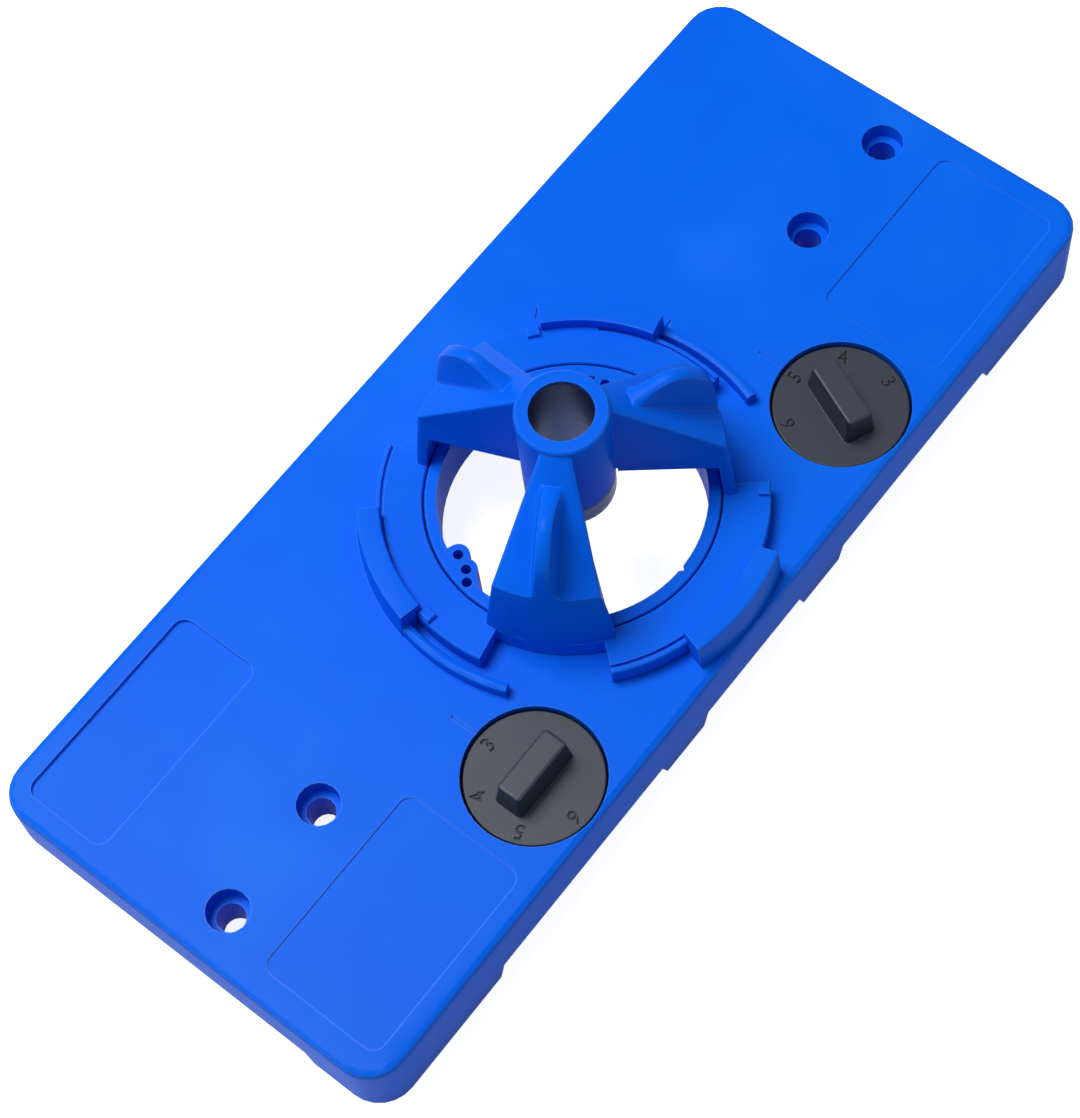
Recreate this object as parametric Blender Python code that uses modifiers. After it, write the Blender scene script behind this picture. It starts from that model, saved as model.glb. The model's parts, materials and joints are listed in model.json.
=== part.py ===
"""Hinge boring jig.

A moulded base plate lies on a cabinet door. A tripod guide stands in its opening and holds
a drill bit square over the hinge cup. Two dials turn edge cams under the plate, which set
how far the cup lies from the door's edge. Frame: X along the plate, Y towards the side away
from the dials, Z up; the origin is the middle of the plate's outline, level with the feet.
"""
import math

import bmesh
import bpy
from mathutils import Matrix, Vector

MM = 0.001

# Base plate
PLATE_LENGTH = 221.0 * MM
PLATE_WIDTH = 92.4 * MM
PLATE_CORNER_RADIUS = 7.5 * MM
PLATE_EDGE_RADIUS = 1.3 * MM
PLATE_DEPTH = 13.0 * MM
TOP_WALL = 3.0 * MM
SKIRT_WALL = 2.5 * MM
FOOT_DEPTH = 4.0 * MM
FOOT_END_SLOPE = 1.4 * MM
MID_FOOT_START = 14.5 * MM
MID_FOOT_END = 28.7 * MM
CORNER_FOOT_LENGTH = 34.5 * MM
CORNER_FOOT_REACH = 18.5 * MM
RIB_THICKNESS = 1.6 * MM
BOSS_SETBACK = 0.2 * MM
RIB_SETBACK = 0.4 * MM
ROW_SETBACK = 0.6 * MM
RIB_TO_COLLAR = 2.4 * MM
RIB_TO_DIAL = 3.85 * MM

# Cup centre, its collar and the pilot holes of the three common hinge patterns. A pilot
# hole's place is its inset from the opening's side and its distance behind the cup's centre.
CUP_TO_FRONT = 42.6 * MM
OPENING_RADIUS = 25.7 * MM
COLLAR_WALL = 2.4 * MM
COLLAR_RISE = 4.4 * MM
COLLAR_DEPTH = 7.5 * MM
COLLAR_EDGE = 0.3 * MM
PILOT_PLACES = ((3.2 * MM, 9.5 * MM), (1.7 * MM, 6.4 * MM), (-0.3 * MM, 4.6 * MM))
PILOT_RADIUS = 1.05 * MM
PILOT_PAD_WALL = 1.2 * MM
PILOT_PAD_DROP = 0.04 * MM
CENTRE_NOTCH_WIDTH = 1.4 * MM
CENTRE_NOTCH_DEPTH = 0.7 * MM

# Screw holes that fix the plate to the door, measured from the plate's ends
SCREW_HOLE_INSETS = (35.1 * MM, 9.8 * MM)
SCREW_HOLE_RADIUS = 2.8 * MM
COUNTERBORE_RADIUS = 4.2 * MM
COUNTERBORE_DEPTH = 4.0 * MM
SCREW_BOSS_WALL = 2.3 * MM

# Recessed panels on the top face, measured from the plate's ends and long edges
PANEL_CORNER = 2.5 * MM
LABEL_PANEL_SIZE = (44.0 * MM, 18.9 * MM)
LABEL_PANEL_INSET = 4.6 * MM
LABEL_PANEL_DEPTH = 0.8 * MM
FRONT_PANEL_WIDTH = 26.6 * MM
FRONT_PANEL_INSET = (5.5 * MM, 4.4 * MM)
FRONT_PANEL_TO_DIAL = 2.65 * MM
FRONT_PANEL_DEPTH = 0.3 * MM
ARROW_LENGTH = 2.6 * MM
ARROW_WIDTH = 1.5 * MM
ARROW_DEPTH = 0.35 * MM
ARROW_TO_CLIP = 0.2 * MM

# Twist lock between guide and plate
RUN_GAP = 0.3 * MM
CLIP_COUNT = 3
CLIP_MIDDLE_ANGLE = math.radians(30.0)
CLIP_HALF_ANGLE = math.radians(17.5)
CLIP_OVERHANG = 1.1 * MM
CLIP_WALL = 3.2 * MM
CLIP_FLARE = 0.6 * MM
CLIP_ROOF = 2.45 * MM
CLIP_EDGE_RADIUS = 0.5 * MM
LUG_REACH = 6.6 * MM
LUG_HALF_ANGLE = math.radians(40.8)
LUG_GROOVE_WIDTH = 0.7 * MM
LUG_GROOVE_DEPTH = 0.8 * MM
LUG_GROOVE_INSET = 0.9 * MM
LUG_GROOVE_OPEN_ANGLE = math.radians(1.0)
FINGER_RIB_INSET = 0.7 * MM
FINGER_RIB_WIDTH = 2.2 * MM
FINGER_RIB_RISE = 2.9 * MM
FINGER_RIB_ROUND = 0.8 * MM
FINGER_RIB_SWEEP = math.radians(34.0)
FINGER_RIB_OVERLAP = math.radians(1.0)
STOP_LENGTH_ANGLE = math.radians(4.3)
STOP_WIDTH = 2.2 * MM
STOP_RISE = 1.0 * MM
STOP_EDGE = 0.25 * MM
STOP_TO_LUG_EDGE = 0.2 * MM
STOP_PLAY_ANGLE = math.radians(0.5)
STOP_END_ANGLE = math.radians(0.6)

# Bit guide
FLANGE_WIDTH = 2.35 * MM
FLANGE_EDGE = 0.3 * MM
SEAM_GAP = 0.35 * MM
TOWER_RADIUS = 8.7 * MM
TOWER_RISE = 37.6 * MM
TOWER_FOOT_RISE = 14.6 * MM
TOWER_LIP = 0.6 * MM
TOWER_EDGE = 0.4 * MM
BUSH_BORE_RADIUS = 6.05 * MM
BUSH_WALL = 0.95 * MM
BUSH_COLLAR_RISE = 9.3 * MM
ARM_TOP_HALF_ANGLE = math.radians(20.2)
ARM_FOOT_HALF_ANGLE = math.radians(25.0)
ARM_TOP_DROP = 1.1 * MM
ARM_SHOULDER_RISE = 20.0 * MM
ARM_SHOULDER_ROUND = 1.4 * MM
ARM_UNDERSIDE_RISE = 13.6 * MM
ARM_FOOT_FLARE = 0.3 * MM
ARM_FOOT_SETBACK = 0.5 * MM
ARM_FOOT_DRAFT = 1.2 * MM
ARM_WALL_DRAFT = 1.6 * MM
ARM_EDGE_RADIUS = 0.8 * MM

# Finger grip on each arm: distance in from the arm's shoulder, height over the arm's slope
GRIP_CREST = (
    (16.6 * MM, 0.0 * MM),
    (15.9 * MM, 0.9 * MM),
    (14.6 * MM, 2.2 * MM),
    (13.0 * MM, 4.1 * MM),
    (11.2 * MM, 6.3 * MM),
    (9.2 * MM, 8.5 * MM),
    (7.2 * MM, 9.8 * MM),
    (5.2 * MM, 10.4 * MM),
    (3.4 * MM, 10.3 * MM),
    (1.9 * MM, 9.7 * MM),
    (0.9 * MM, 8.3 * MM),
    (0.3 * MM, 5.0 * MM),
)
GRIP_HALF_WIDTH = 1.3 * MM
GRIP_CROWN = 0.45 * MM
GRIP_FLANK = 0.9 * MM
GRIP_FILLET = 1.3 * MM
GRIP_FLARE_LENGTH = 5.4 * MM
GRIP_ROOM_SHARE = 0.9

# Offset dials
DIAL_X = 47.5 * MM
DIAL_TO_CUP = 28.0 * MM
DIAL_RADIUS = 13.35 * MM
DIAL_THICKNESS = 3.2 * MM
DIAL_SINK = 0.9 * MM
DIAL_EDGE = 0.35 * MM
WELL_WALL = 2.0 * MM
WELL_FLOOR = 2.2 * MM
GRIP_BAR_LENGTH = 14.2 * MM
GRIP_BAR_WIDTH = 5.1 * MM
GRIP_BAR_HEIGHT = 6.4 * MM
GRIP_BAR_DRAFT = 0.9 * MM
GRIP_BAR_ROUND = 0.9 * MM
HUB_RADIUS = 5.0 * MM
HUB_BOSS_WALL = 2.3 * MM
KEY_SIDE = 6.4 * MM
KEY_DEPTH = 1.5 * MM
DIAL_STEP = math.radians(57.0)
DIGIT_SIZE = 4.2 * MM
DIGIT_RADIUS = 10.6 * MM
DIGIT_DEPTH = 0.3 * MM
LEFT_SETTING = 0
RIGHT_SETTING = 2
POINTER_LENGTH = 6.4 * MM
POINTER_WIDTH = 0.6 * MM
POINTER_DEPTH = 0.3 * MM

# Edge cams, from the door-edge offsets that the dials are numbered with
CUP_RADIUS = 17.5 * MM
OFFSETS = (3.0 * MM, 4.0 * MM, 5.0 * MM, 6.0 * MM)
CAM_RADIUS = 9.0 * MM
CAM_WEB = 1.2 * MM
CAM_FLOOR_GAP = 0.3 * MM

# Screw, flat washer and wave washer of each dial
SHANK_RADIUS = 1.9 * MM
SHANK_LENGTH = 9.0 * MM
HEAD_RADIUS = 3.6 * MM
HEAD_HEIGHT = 1.4 * MM
HEAD_SINK = 0.1 * MM
CROSS_LENGTH = 3.6 * MM
CROSS_WIDTH = 0.9 * MM
CROSS_DEPTH = 0.8 * MM
CROSS_TURN = math.radians(20.0)
WASHER_RADIUS = 4.6 * MM
WASHER_THICKNESS = 0.6 * MM
WAVE_OUTER_RADIUS = 10.0 * MM
WAVE_WIDTH = 3.4 * MM
WAVE_THICKNESS = 0.4 * MM
WAVE_SWING = 0.2 * MM
WAVE_COUNT = 3

# Fineness of round forms
SEGMENTS_LARGE = 72
SEGMENTS_MEDIUM = 36
SEGMENTS_SMALL = 18
SEGMENTS_DIAL = 48
SEGMENTS_PILOT = 10
CORNER_STEPS = 6
CLIP_STEPS = 8
LUG_STEPS = 19
GROOVE_STEPS = 9
STOP_STEPS = 3

# A round of three points has its middle one in from the corner by this share of its radius
ROUND_MIDDLE = 0.3

# How far cutters reach past what they cut, and what still counts as one flat face
CUT_MARGIN = 2.0 * MM
FLAT_ANGLE = math.radians(0.05)

# Levels that several pieces share
WORK_FACE_Z = FOOT_DEPTH
PLATE_TOP_Z = WORK_FACE_Z + PLATE_DEPTH
BOSS_BOTTOM_Z = WORK_FACE_Z + BOSS_SETBACK
RIB_BOTTOM_Z = WORK_FACE_Z + RIB_SETBACK
ROW_BOTTOM_Z = WORK_FACE_Z + ROW_SETBACK
PLATE_INNER_Z = PLATE_TOP_Z - TOP_WALL
COLLAR_TOP_Z = PLATE_TOP_Z + COLLAR_RISE
COLLAR_BOTTOM_Z = PLATE_TOP_Z - COLLAR_DEPTH
COLLAR_RADIUS = OPENING_RADIUS + COLLAR_WALL
FLANGE_INNER_RADIUS = COLLAR_RADIUS + SEAM_GAP
FLANGE_OUTER_RADIUS = FLANGE_INNER_RADIUS + FLANGE_WIDTH
LUG_RADIUS = FLANGE_OUTER_RADIUS + LUG_REACH
CLIP_INNER_RADIUS = LUG_RADIUS - CLIP_OVERHANG
CLIP_WALL_RADIUS = LUG_RADIUS + RUN_GAP
CLIP_OUTER_RADIUS = CLIP_WALL_RADIUS + CLIP_WALL
CLIP_ROOF_Z = COLLAR_TOP_Z + RUN_GAP
CLIP_TOP_Z = CLIP_ROOF_Z + CLIP_ROOF
CUP_Y = CUP_TO_FRONT - 0.5 * PLATE_WIDTH
CUP_CENTRE = (0.0, CUP_Y)
PILOT_HOLES = tuple((OPENING_RADIUS - inset, behind) for inset, behind in PILOT_PLACES)
FINGER_RIB_RADIUS = CLIP_OUTER_RADIUS - FINGER_RIB_INSET
SCREW_HOLE_X = tuple(0.5 * PLATE_LENGTH - inset for inset in SCREW_HOLE_INSETS)

DIAL_Y = CUP_Y - DIAL_TO_CUP
DIAL_TOP_Z = PLATE_TOP_Z - DIAL_SINK
DIAL_UNDER_Z = DIAL_TOP_Z - DIAL_THICKNESS
WAVE_SPACE = WAVE_THICKNESS + 2.0 * WAVE_SWING + 2.0 * RUN_GAP
WELL_FLOOR_Z = DIAL_UNDER_Z - WAVE_SPACE
WELL_RADIUS = DIAL_RADIUS + RUN_GAP
WELL_UNDER_Z = WELL_FLOOR_Z - WELL_FLOOR
HUB_BORE_RADIUS = HUB_RADIUS + RUN_GAP
HUB_BOSS_RADIUS = HUB_BORE_RADIUS + HUB_BOSS_WALL
WELL_OUTER_RADIUS = WELL_RADIUS + WELL_WALL
RIB_COLUMNS = (
    COLLAR_RADIUS + RIB_TO_COLLAR,
    DIAL_X + WELL_RADIUS + RIB_TO_DIAL,
    0.5 * (SCREW_HOLE_X[0] + SCREW_HOLE_X[1]),
)
BACK_RIB_Y = CUP_Y + COLLAR_RADIUS + RIB_TO_COLLAR
CAM_BOTTOM_Z = CAM_FLOOR_GAP
HEAD_BOTTOM_Z = CAM_BOTTOM_Z + HEAD_SINK
WASHER_Z = HEAD_BOTTOM_Z + HEAD_HEIGHT + RUN_GAP
CAM_RECESS_Z = WASHER_Z + WASHER_THICKNESS + RUN_GAP
CAM_SOCKET_Z = CAM_RECESS_Z + CAM_WEB
KEY_BOTTOM_Z = CAM_SOCKET_Z + RUN_GAP
CAM_TOP_Z = KEY_BOTTOM_Z + KEY_DEPTH
HUB_BOTTOM_Z = CAM_TOP_Z + RUN_GAP
HUB_BOSS_BOTTOM_Z = HUB_BOTTOM_Z

BUSH_OUTER_RADIUS = BUSH_BORE_RADIUS + BUSH_WALL
BUSH_SEAT_RADIUS = BUSH_OUTER_RADIUS + RUN_GAP
TOWER_TOP_Z = PLATE_TOP_Z + TOWER_RISE
TOWER_FOOT_Z = PLATE_TOP_Z + TOWER_FOOT_RISE
BUSH_BOTTOM_Z = PLATE_TOP_Z + BUSH_COLLAR_RISE
FLANGE_BOTTOM_Z = PLATE_TOP_Z + RUN_GAP
ARM_INNER_RADIUS = 0.5 * (BUSH_SEAT_RADIUS + TOWER_RADIUS)
ARM_FOOT_RADIUS = FLANGE_OUTER_RADIUS + ARM_FOOT_FLARE
ARM_SHOULDER_RADIUS = ARM_FOOT_RADIUS - ARM_WALL_DRAFT

PARTS = "hinge_boring_jig"
CUTTERS = "jig_cutters"


def clear_scene():
    for item in list(bpy.data.objects):
        bpy.data.objects.remove(item, do_unlink=True)


def new_collection(name):
    collection = bpy.data.collections.new(name)
    bpy.context.scene.collection.children.link(collection)
    return collection


def plain_material(name, colour, roughness, metallic=0.0):
    material = bpy.data.materials.new(name)
    material.use_nodes = True
    shader = material.node_tree.nodes["Principled BSDF"]
    shader.inputs["Base Color"].default_value = (*colour, 1.0)
    shader.inputs["Roughness"].default_value = roughness
    shader.inputs["Metallic"].default_value = metallic
    material.diffuse_color = (*colour, 1.0)
    return material


def link_mesh(name, mesh, collection):
    item = bpy.data.objects.new(name, mesh)
    collection.objects.link(item)
    return item


def arc(radius, start, end, count, centre=(0.0, 0.0)):
    """Points of an arc, both ends included."""
    angles = [start + (end - start) * step / count for step in range(count + 1)]
    return [(centre[0] + radius * math.cos(a), centre[1] + radius * math.sin(a)) for a in angles]


def circle(radius, segments, centre=(0.0, 0.0)):
    return arc(radius, 0.0, math.tau * (1.0 - 1.0 / segments), segments - 1, centre)


def rounded_box(left, right, front, back, radius):
    """Outline of a rectangle with round corners, counter-clockwise."""
    corners = (
        (right - radius, back - radius, 0.0),
        (left + radius, back - radius, 0.5 * math.pi),
        (left + radius, front + radius, math.pi),
        (right - radius, front + radius, 1.5 * math.pi),
    )
    points = []
    for x, y, start in corners:
        points += arc(radius, start, start + 0.5 * math.pi, CORNER_STEPS, (x, y))
    return points


def sector(inner, outer, start, end, count, centre=CUP_CENTRE):
    """Outline of a ring sector."""
    outside = arc(outer, start, end, count, centre)
    inside = arc(inner, end, start, count, centre)
    return outside + inside


def hull(points):
    """Convex outline round a set of points, counter-clockwise."""
    ordered = sorted(set(points))

    def chain(sequence):
        kept = []
        for point in sequence:
            while len(kept) > 1:
                (ax, ay), (bx, by) = kept[-2], kept[-1]
                turn = (bx - ax) * (point[1] - ay) - (by - ay) * (point[0] - ax)
                if turn > 0.0:
                    break
                kept.pop()
            kept.append(point)
        return kept[:-1]

    return chain(ordered) + chain(reversed(ordered))


def bake(item):
    """An object's evaluated mesh, with the triangles of its flat faces merged again."""
    graph = bpy.context.evaluated_depsgraph_get()
    mesh = bpy.data.meshes.new_from_object(item.evaluated_get(graph))
    work = bmesh.new()
    work.from_mesh(mesh)
    bmesh.ops.remove_doubles(work, verts=work.verts, dist=1e-7)
    bmesh.ops.dissolve_limit(
        work, angle_limit=FLAT_ANGLE, use_dissolve_boundaries=False, verts=work.verts,
        edges=work.edges, delimit={"NORMAL"},
    )
    bmesh.ops.recalc_face_normals(work, faces=work.faces)
    work.to_mesh(mesh)
    work.free()
    return mesh


def flat_piece(name, outlines, low, high, collection):
    """Extrude one or more outlines between two levels; an outline inside another is a hole."""
    curve = bpy.data.curves.new(name, "CURVE")
    curve.dimensions = "2D"
    curve.fill_mode = "BOTH"
    curve.extrude = 0.5 * (high - low)
    for outline in outlines:
        spline = curve.splines.new("POLY")
        spline.points.add(len(outline) - 1)
        for point, (x, y) in zip(spline.points, outline):
            point.co = (x, y, 0.0, 1.0)
        spline.use_cyclic_u = True
    source = link_mesh(name + "_outline", curve, collection)
    mesh = bake(source)
    bpy.data.objects.remove(source, do_unlink=True)
    mesh.transform(Matrix.Translation((0.0, 0.0, 0.5 * (low + high))))
    return link_mesh(name, mesh, collection)


def side_piece(name, outline, half_width, collection):
    """Extrude an outline drawn in the XZ plane to both sides of it."""
    item = flat_piece(name, [outline], -half_width, half_width, collection)
    item.data.transform(Matrix.Rotation(0.5 * math.pi, 4, "X"))
    return item


def turned(name, profile, segments, collection, centre=(0.0, 0.0)):
    """Turn a closed profile of (radius, height) points about the vertical axis."""
    mesh = bpy.data.meshes.new(name)
    vertices = [(radius, 0.0, height) for radius, height in profile]
    edges = [(i, (i + 1) % len(profile)) for i in range(len(profile))]
    if profile[0][0] == 0.0 and profile[-1][0] == 0.0:
        edges.pop()
    mesh.from_pydata(vertices, edges, [])
    source = link_mesh(name + "_profile", mesh, collection)
    screw = source.modifiers.new("turn", "SCREW")
    screw.steps = segments
    screw.render_steps = segments
    screw.use_merge_vertices = True
    screw.merge_threshold = 0.000001
    result = bake(source)
    bpy.data.objects.remove(source, do_unlink=True)
    result.transform(Matrix.Translation((centre[0], centre[1], 0.0)))
    return link_mesh(name, result, collection)


def swept(name, profile, start, end, count, collection):
    """Sweep a closed profile of (radius, height) points through an angle about the cup."""
    work = bmesh.new()
    rows = []
    for step in range(count + 1):
        angle = start + (end - start) * step / count
        row = []
        for radius, height in profile:
            x = CUP_CENTRE[0] + radius * math.cos(angle)
            y = CUP_CENTRE[1] + radius * math.sin(angle)
            row.append(work.verts.new((x, y, height)))
        rows.append(row)
    skin_rows(work, rows)
    mesh = bpy.data.meshes.new(name)
    work.to_mesh(mesh)
    work.free()
    return link_mesh(name, mesh, collection)


def skin_rows(work, rows):
    """Join rows of points into a closed body with a cap on the first and the last row."""
    count = len(rows[0])
    for row, following in zip(rows, rows[1:]):
        for index in range(count):
            after = (index + 1) % count
            work.faces.new((row[index], row[after], following[after], following[index]))
    work.faces.new(rows[0])
    work.faces.new(rows[-1])
    bmesh.ops.recalc_face_normals(work, faces=work.faces)


def box(name, low, high, collection):
    """A box from its lowest to its highest corner."""
    work = bmesh.new()
    bmesh.ops.create_cube(work, size=1.0)
    size = Vector(high) - Vector(low)
    middle = 0.5 * (Vector(high) + Vector(low))
    bmesh.ops.scale(work, vec=size, verts=work.verts)
    bmesh.ops.translate(work, vec=middle, verts=work.verts)
    mesh = bpy.data.meshes.new(name)
    work.to_mesh(mesh)
    work.free()
    return link_mesh(name, mesh, collection)


def joined(name, pieces, collection):
    """One object out of pieces that don't touch, for a single Boolean."""
    work = bmesh.new()
    for piece in pieces:
        work.from_mesh(piece.data)
        bpy.data.objects.remove(piece, do_unlink=True)
    mesh = bpy.data.meshes.new(name)
    work.to_mesh(mesh)
    work.free()
    return link_mesh(name, mesh, collection)


def combine(target, operation, tools):
    """Give an object one Boolean for each tool, in order."""
    for tool in tools:
        modifier = target.modifiers.new(tool.name, "BOOLEAN")
        modifier.operation = operation
        modifier.object = tool
        modifier.solver = "EXACT"
        tool.hide_render = True
        tool.display_type = "WIRE"


def settle(target):
    """Work out an object's Booleans into its mesh."""
    target.data = bake(target)
    target.modifiers.clear()


def round_edges(item, width, segments, chosen):
    """Bevel the edges for which chosen says yes."""
    work = bmesh.new()
    work.from_mesh(item.data)
    edges = [edge for edge in work.edges if chosen(edge)]
    bmesh.ops.bevel(
        work, geom=edges, offset=width, segments=segments, profile=0.5, affect="EDGES",
        clamp_overlap=True,
    )
    work.to_mesh(item.data)
    work.free()


def sharp_at(level, least=math.radians(40.0)):
    """Test for sharp edges that lie at one height."""
    def test(edge):
        if len(edge.link_faces) != 2 or edge.calc_face_angle(0.0) < least:
            return False
        return all(abs(vertex.co.z - level) < 1e-6 for vertex in edge.verts)
    return test


def finish(item, material):
    item.data.materials.clear()
    item.data.materials.append(material)
    item.data.shade_smooth()
    item.data.set_sharp_from_angle(angle=math.radians(32.0))
    item.color = material.diffuse_color


def clip_angles():
    step = math.tau / CLIP_COUNT
    return [CLIP_MIDDLE_ANGLE + index * step for index in range(CLIP_COUNT)]


def arm_angles():
    return [angle + 0.5 * math.tau / CLIP_COUNT for angle in clip_angles()]


def plate_outline(inset=0.0):
    return rounded_box(
        -0.5 * PLATE_LENGTH + inset,
        0.5 * PLATE_LENGTH - inset,
        -0.5 * PLATE_WIDTH + inset,
        0.5 * PLATE_WIDTH - inset,
        PLATE_CORNER_RADIUS - inset,
    )


def foot_relief(cutters):
    """What is cut from the rim's lower edge to leave the feet standing."""
    front = -0.5 * PLATE_WIDTH
    half_length = 0.5 * PLATE_LENGTH + CUT_MARGIN
    half_width = 0.5 * PLATE_WIDTH + CUT_MARGIN
    below = -CUT_MARGIN
    lean = FOOT_END_SLOPE * (FOOT_DEPTH + CUT_MARGIN) / FOOT_DEPTH
    corner_start = 0.5 * PLATE_LENGTH - CORNER_FOOT_LENGTH
    spans = (
        (-MID_FOOT_START, MID_FOOT_START),
        (MID_FOOT_END, corner_start),
        (-corner_start, -MID_FOOT_END),
    )
    pieces = []
    for left, right in spans:
        outline = [
            (left - lean, below),
            (right + lean, below),
            (right, WORK_FACE_Z),
            (left, WORK_FACE_Z),
        ]
        piece = side_piece("relief_span", outline, PLATE_CORNER_RADIUS, cutters)
        piece.data.transform(Matrix.Translation((0.0, front, 0.0)))
        pieces.append(piece)
    start = front + CORNER_FOOT_REACH
    outline = [
        (start - lean, below),
        (half_width, below),
        (half_width, WORK_FACE_Z),
        (start, WORK_FACE_Z),
    ]
    rear = side_piece("relief_rear", outline, half_length, cutters)
    rear.data.transform(Matrix.Rotation(0.5 * math.pi, 4, "Z"))
    return [joined("relief_front", pieces, cutters), rear]


def rim_cavity(cutters):
    return flat_piece(
        "rim_cavity", [plate_outline(SKIRT_WALL)], -CUT_MARGIN, PLATE_INNER_Z, cutters
    )


def plate_bosses(cutters):
    """Collar, screw bosses and dial wells, all standing under the top wall."""
    overlap = PLATE_INNER_Z + 0.5 * TOP_WALL
    pieces = [
        flat_piece(
            "collar", [circle(COLLAR_RADIUS, SEGMENTS_LARGE, CUP_CENTRE)],
            COLLAR_BOTTOM_Z, COLLAR_TOP_Z, cutters,
        )
    ]
    round_edges(pieces[0], COLLAR_EDGE, 1, sharp_at(COLLAR_TOP_Z))
    boss_radius = COUNTERBORE_RADIUS + SCREW_BOSS_WALL
    for side in (-1.0, 1.0):
        for x in SCREW_HOLE_X:
            outline = circle(boss_radius, SEGMENTS_SMALL, (side * x, CUP_Y))
            pieces.append(flat_piece("screw_boss", [outline], BOSS_BOTTOM_Z, overlap, cutters))
        profile = [
            (0.0, overlap),
            (WELL_OUTER_RADIUS, overlap),
            (WELL_OUTER_RADIUS, WELL_UNDER_Z),
            (HUB_BOSS_RADIUS, WELL_UNDER_Z),
            (HUB_BOSS_RADIUS, HUB_BOSS_BOTTOM_Z),
            (0.0, HUB_BOSS_BOTTOM_Z),
        ]
        centre = (side * DIAL_X, DIAL_Y)
        well = turned("dial_well", profile, SEGMENTS_MEDIUM, cutters, centre)
        pieces.append(well)
    bosses = joined("plate_bosses", pieces, cutters)
    front = -0.5 * PLATE_WIDTH
    low = (-0.5 * PLATE_LENGTH, front - WELL_RADIUS, -CUT_MARGIN)
    high = (0.5 * PLATE_LENGTH, front + 0.5 * SKIRT_WALL, COLLAR_TOP_Z)
    combine(bosses, "DIFFERENCE", [box("front_trim", low, high, cutters)])
    settle(bosses)
    return bosses


def plate_ribs(cutters):
    """Stiffening ribs under the top wall. They frame the opening but stay clear of it."""
    top = PLATE_INNER_Z + 0.5 * TOP_WALL
    inner_x = 0.5 * PLATE_LENGTH - 0.5 * SKIRT_WALL
    inner_y = 0.5 * PLATE_WIDTH - 0.5 * SKIRT_WALL
    half = 0.5 * RIB_THICKNESS
    columns = []
    rows = []
    for side in (-1.0, 1.0):
        for x in RIB_COLUMNS:
            low = (side * x - half, -inner_y, RIB_BOTTOM_Z)
            high = (side * x + half, inner_y, top)
            columns.append(box("rib_column", low, high, cutters))
        ends = sorted((side * RIB_COLUMNS[0], side * inner_x))
        low = (ends[0], CUP_Y - half, ROW_BOTTOM_Z)
        high = (ends[1], CUP_Y + half, top)
        rows.append(box("rib_row", low, high, cutters))
    low = (-inner_x, BACK_RIB_Y - half, ROW_BOTTOM_Z)
    rows.append(box("rib_row", low, (inner_x, BACK_RIB_Y + half, top), cutters))
    return [joined("rib_columns", columns, cutters), joined("rib_rows", rows, cutters)]


def clip(angle, cutters):
    """One hook that holds a lug of the guide down: a wall with a roof over the lug."""
    soft = CLIP_EDGE_RADIUS
    buried = PLATE_TOP_Z - 0.5 * TOP_WALL
    profile = [
        (CLIP_WALL_RADIUS, buried),
        (CLIP_WALL_RADIUS, CLIP_ROOF_Z),
        (CLIP_INNER_RADIUS, CLIP_ROOF_Z),
        *arc_profile(CLIP_INNER_RADIUS, CLIP_TOP_Z, soft, -1.0),
        *arc_profile(CLIP_OUTER_RADIUS, CLIP_TOP_Z, soft, 1.0),
        (CLIP_OUTER_RADIUS + CLIP_FLARE, PLATE_TOP_Z),
        (CLIP_OUTER_RADIUS + CLIP_FLARE, buried),
    ]
    start = angle - CLIP_HALF_ANGLE
    return swept("clip", profile, start, start + 2.0 * CLIP_HALF_ANGLE, CLIP_STEPS, cutters)


def arc_profile(radius, top, soft, side):
    """Three points that round an upper corner of a swept profile, walked inner to outer."""
    near = ROUND_MIDDLE * soft
    corner = [(radius, top - soft), (radius - side * near, top - near)]
    corner.append((radius - side * soft, top))
    return corner if side < 0.0 else corner[::-1]


def finger_ribs(cutters):
    """Two low round-topped ribs that carry on from the side clips towards the dials."""
    inner = FINGER_RIB_RADIUS - 0.5 * FINGER_RIB_WIDTH
    outer = FINGER_RIB_RADIUS + 0.5 * FINGER_RIB_WIDTH
    soft = FINGER_RIB_ROUND
    top = PLATE_TOP_Z + FINGER_RIB_RISE
    buried = PLATE_TOP_Z - 0.5 * TOP_WALL
    profile = [
        (inner, buried),
        *arc_profile(inner, top, soft, -1.0),
        *arc_profile(outer, top, soft, 1.0),
        (outer, buried),
    ]
    start = CLIP_MIDDLE_ANGLE - CLIP_HALF_ANGLE + FINGER_RIB_OVERLAP
    end = start - FINGER_RIB_SWEEP
    pieces = [
        swept("finger_rib", profile, end, start, CLIP_STEPS, cutters),
        swept("finger_rib", profile, math.pi - start, math.pi - end, CLIP_STEPS, cutters),
    ]
    return joined("finger_ribs", pieces, cutters)


def pilot_pads(cutters):
    """Lobes of the collar that carry the pilot holes, a pair for each hole. Each pair ends
    a hair lower than the one before, so that no two of them share a face."""
    pad_radius = PILOT_RADIUS + PILOT_PAD_WALL
    inside = COLLAR_RADIUS - 0.25 * COLLAR_WALL
    pairs = []
    for index, (x, y) in enumerate(PILOT_HOLES):
        drop = (index + 1) * PILOT_PAD_DROP
        reach = (COLLAR_RADIUS - 0.5 * COLLAR_WALL) / math.hypot(x, y)
        pieces = []
        for side in (-1.0, 1.0):
            points = circle(pad_radius, SEGMENTS_SMALL, (side * x, CUP_Y + y))
            root = (side * x * reach, CUP_Y + y * reach)
            points += circle(pad_radius, SEGMENTS_SMALL, root)
            kept = []
            for px, py in hull(points):
                scale = min(1.0, inside / math.hypot(px, py - CUP_Y))
                kept.append((px * scale, CUP_Y + (py - CUP_Y) * scale))
            low = COLLAR_BOTTOM_Z + BOSS_SETBACK + drop
            pieces.append(flat_piece("pilot_pad", [kept], low, COLLAR_TOP_Z - drop, cutters))
        pairs.append(joined("pilot_pads", pieces, cutters))
    return pairs


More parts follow.
